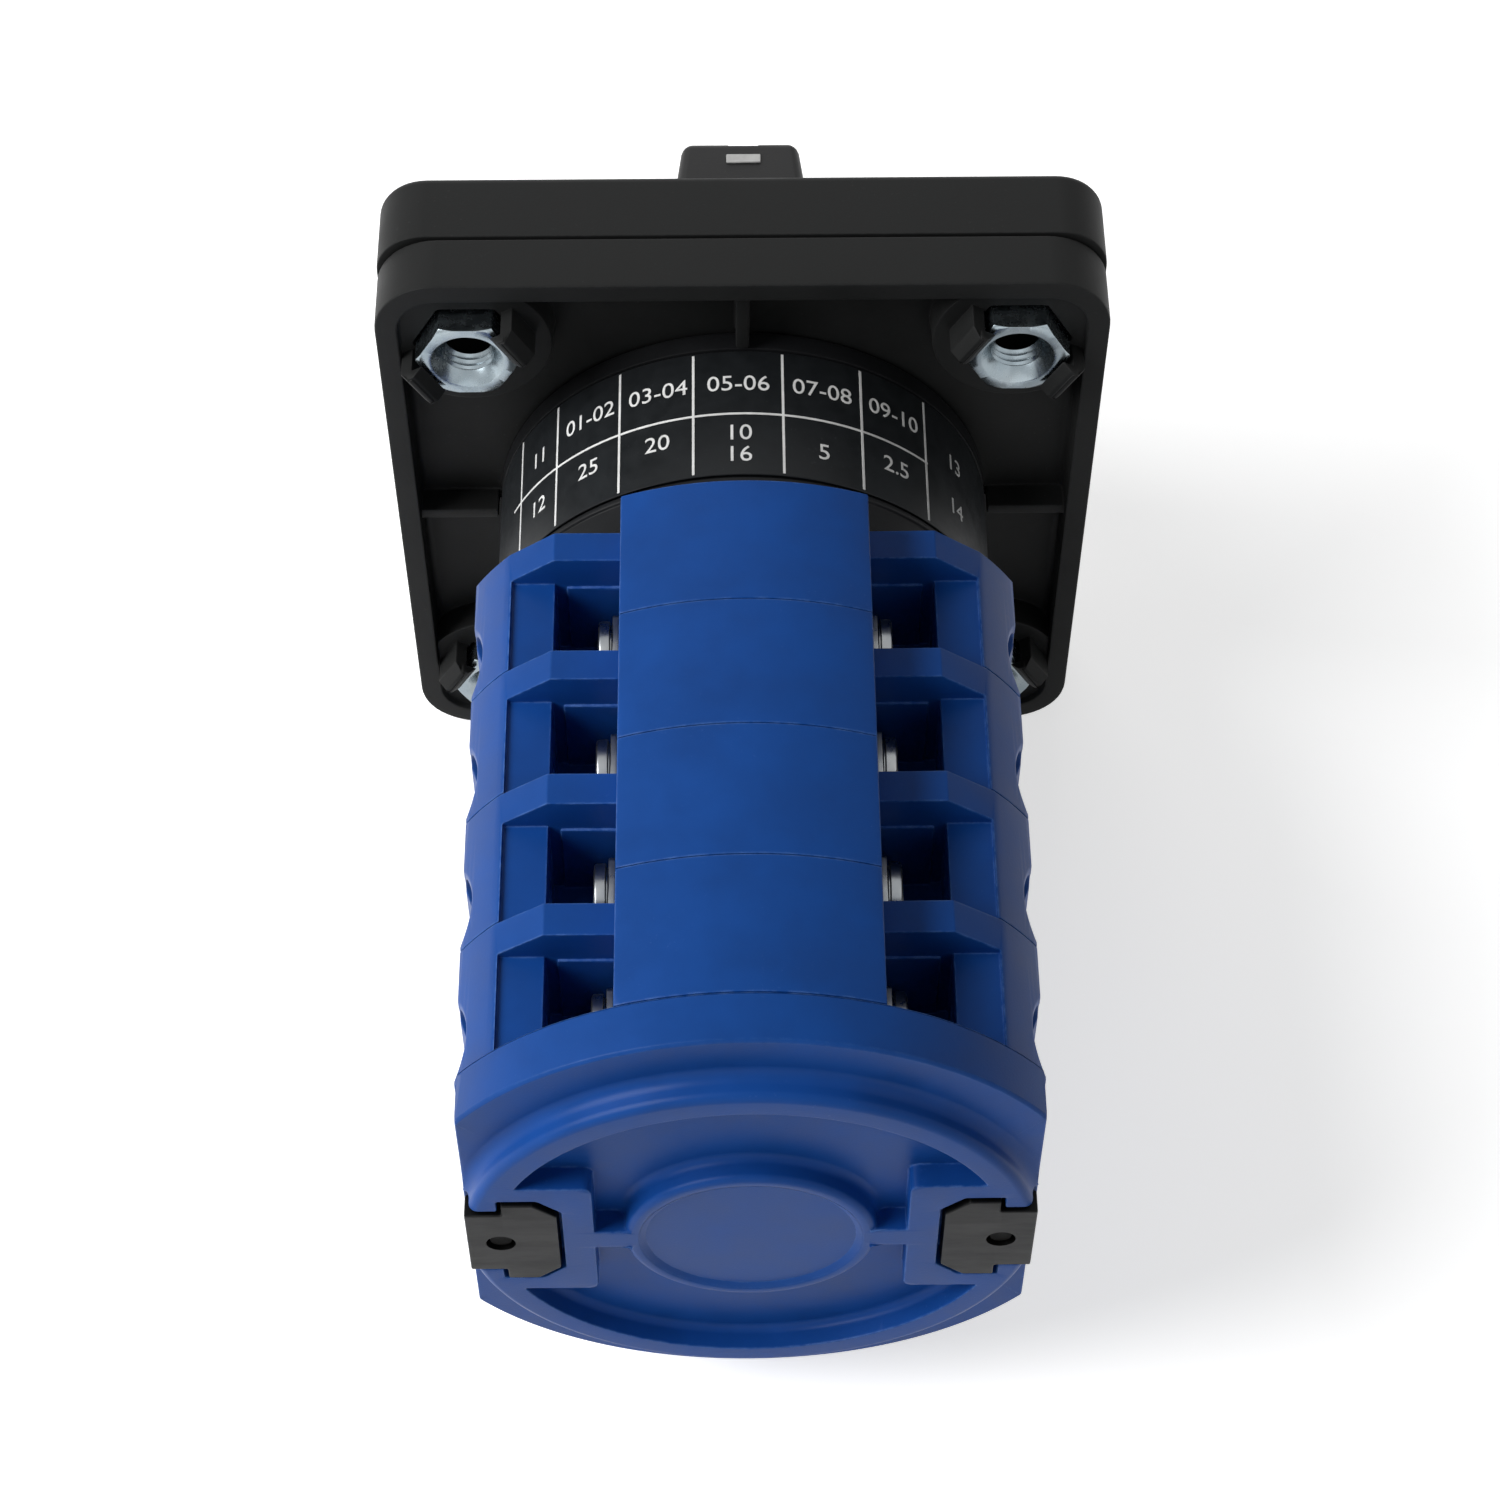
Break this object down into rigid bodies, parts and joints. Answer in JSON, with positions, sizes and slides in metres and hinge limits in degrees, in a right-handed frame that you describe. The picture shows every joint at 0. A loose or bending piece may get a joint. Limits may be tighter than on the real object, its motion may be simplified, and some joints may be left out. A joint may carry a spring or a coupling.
{
  "type": "rotary cam switch",
  "caption": "Panel-mounted rotary cam switch with a square front plate and handle, a stack of blue contact decks with screw terminals on a square shaft, and a round end cap.",
  "frame": {"origin": "on the shaft axis, in the panel plane between the front bezel and the mounting frame", "axes": "+Y from the handle along the shaft to the end cap, +Z towards 12 o'clock, +X to the right seen from the handle side"},
  "size_m": [0.064, 0.105, 0.064],
  "materials": {
    "black_plastic": "satin moulded black",
    "knob_plastic": "satin moulded black",
    "blue_plastic": "satin moulded blue",
    "dial_face": "fine satin sheet",
    "label_film": "smooth black film",
    "white_plastic": "natural moulded",
    "zinc_steel": "bright zinc plate",
    "dark_steel": "blackened sheet",
    "spring_steel": "bright wire and strip"
  },
  "bodies": {
    "housing": {"bezel": "black_plastic", "mounting_frame": "black_plastic", "click_housing": "black_plastic", "dial_plate": "dial_face", "rating_label": "label_film", "corner_nut_1": "zinc_steel", "corner_nut_2": "zinc_steel", "corner_nut_3": "zinc_steel", "corner_nut_4": "zinc_steel", "detent_spring_1": "spring_steel", "tie_rod_1": "zinc_steel", "nut_plate_1": "dark_steel", "detent_spring_2": "spring_steel", "tie_rod_2": "zinc_steel", "nut_plate_2": "dark_steel", "end_cap": "blue_plastic", "deck_1": "blue_plastic", "spring_top_1": "spring_steel", "spring_bottom_1": "spring_steel", "terminal_right_top_1": "zinc_steel", "terminal_left_top_1": "zinc_steel", "terminal_left_bottom_1": "zinc_steel", "terminal_right_bottom_1": "zinc_steel", "deck_2": "blue_plastic", "spring_top_2": "spring_steel", "spring_bottom_2": "spring_steel", "terminal_right_top_2": "zinc_steel", "terminal_left_top_2": "zinc_steel", "terminal_left_bottom_2": "zinc_steel", "terminal_right_bottom_2": "zinc_steel", "deck_3": "blue_plastic", "spring_top_3": "spring_steel", "spring_bottom_3": "spring_steel", "terminal_right_top_3": "zinc_steel", "terminal_left_top_3": "zinc_steel", "terminal_left_bottom_3": "zinc_steel", "terminal_right_bottom_3": "zinc_steel", "deck_4": "blue_plastic", "spring_top_4": "spring_steel", "spring_bottom_4": "spring_steel", "terminal_right_top_4": "zinc_steel", "terminal_left_top_4": "zinc_steel", "terminal_left_bottom_4": "zinc_steel", "terminal_right_bottom_4": "zinc_steel"},
    "rotor": {"knob": "knob_plastic", "knob_screw": "zinc_steel", "drive_shaft": "zinc_steel", "detent_star": "white_plastic", "cam_1": "white_plastic", "cam_2": "white_plastic", "cam_3": "white_plastic", "cam_4": "white_plastic"},
    "bridge_top_1": {"bridge_top_1": "white_plastic"},
    "bridge_bottom_1": {"bridge_bottom_1": "white_plastic"},
    "bridge_top_2": {"bridge_top_2": "white_plastic"},
    "bridge_bottom_2": {"bridge_bottom_2": "white_plastic"},
    "bridge_top_3": {"bridge_top_3": "white_plastic"},
    "bridge_bottom_3": {"bridge_bottom_3": "white_plastic"},
    "bridge_top_4": {"bridge_top_4": "white_plastic"},
    "bridge_bottom_4": {"bridge_bottom_4": "white_plastic"}
  },
  "joints": [
    {"name": "handle_turn", "type": "hinge", "parent": "housing", "child": "rotor", "pos_m": [0, 0, 0], "axis": [0, 1, 0], "range_deg": [-60, 60], "deforming": ["detent_spring_1", "detent_spring_2"]},
    {"name": "bridge_slide_top_1", "type": "slide", "parent": "housing", "child": "bridge_top_1", "axis": [0, 0, 1], "range_m": [-0.0013, 0.0013], "deforming": ["spring_top_1"]},
    {"name": "bridge_slide_bottom_1", "type": "slide", "parent": "housing", "child": "bridge_bottom_1", "axis": [0, 0, 1], "range_m": [-0.0013, 0.0013], "deforming": ["spring_bottom_1"]},
    {"name": "bridge_slide_top_2", "type": "slide", "parent": "housing", "child": "bridge_top_2", "axis": [0, 0, 1], "range_m": [-0.0013, 0.0013], "deforming": ["spring_top_2"]},
    {"name": "bridge_slide_bottom_2", "type": "slide", "parent": "housing", "child": "bridge_bottom_2", "axis": [0, 0, 1], "range_m": [-0.0013, 0.0013], "deforming": ["spring_bottom_2"]},
    {"name": "bridge_slide_top_3", "type": "slide", "parent": "housing", "child": "bridge_top_3", "axis": [0, 0, 1], "range_m": [-0.0013, 0.0013], "deforming": ["spring_top_3"]},
    {"name": "bridge_slide_bottom_3", "type": "slide", "parent": "housing", "child": "bridge_bottom_3", "axis": [0, 0, 1], "range_m": [-0.0013, 0.0013], "deforming": ["spring_bottom_3"]},
    {"name": "bridge_slide_top_4", "type": "slide", "parent": "housing", "child": "bridge_top_4", "axis": [0, 0, 1], "range_m": [-0.0013, 0.0013], "deforming": ["spring_top_4"]},
    {"name": "bridge_slide_bottom_4", "type": "slide", "parent": "housing", "child": "bridge_bottom_4", "axis": [0, 0, 1], "range_m": [-0.0013, 0.0013], "deforming": ["spring_bottom_4"]}
  ],
  "couplings": [
    {"joint": "bridge_slide_top_1", "follows": "handle_turn", "m_per_rad": -0.00124},
    {"joint": "bridge_slide_bottom_1", "follows": "handle_turn", "m_per_rad": -0.00124},
    {"joint": "bridge_slide_top_2", "follows": "handle_turn", "m_per_rad": -0.00124},
    {"joint": "bridge_slide_bottom_2", "follows": "handle_turn", "m_per_rad": -0.00124},
    {"joint": "bridge_slide_top_3", "follows": "handle_turn", "m_per_rad": -0.00124},
    {"joint": "bridge_slide_bottom_3", "follows": "handle_turn", "m_per_rad": -0.00124},
    {"joint": "bridge_slide_top_4", "follows": "handle_turn", "m_per_rad": -0.00124},
    {"joint": "bridge_slide_bottom_4", "follows": "handle_turn", "m_per_rad": -0.00124}
  ]
}
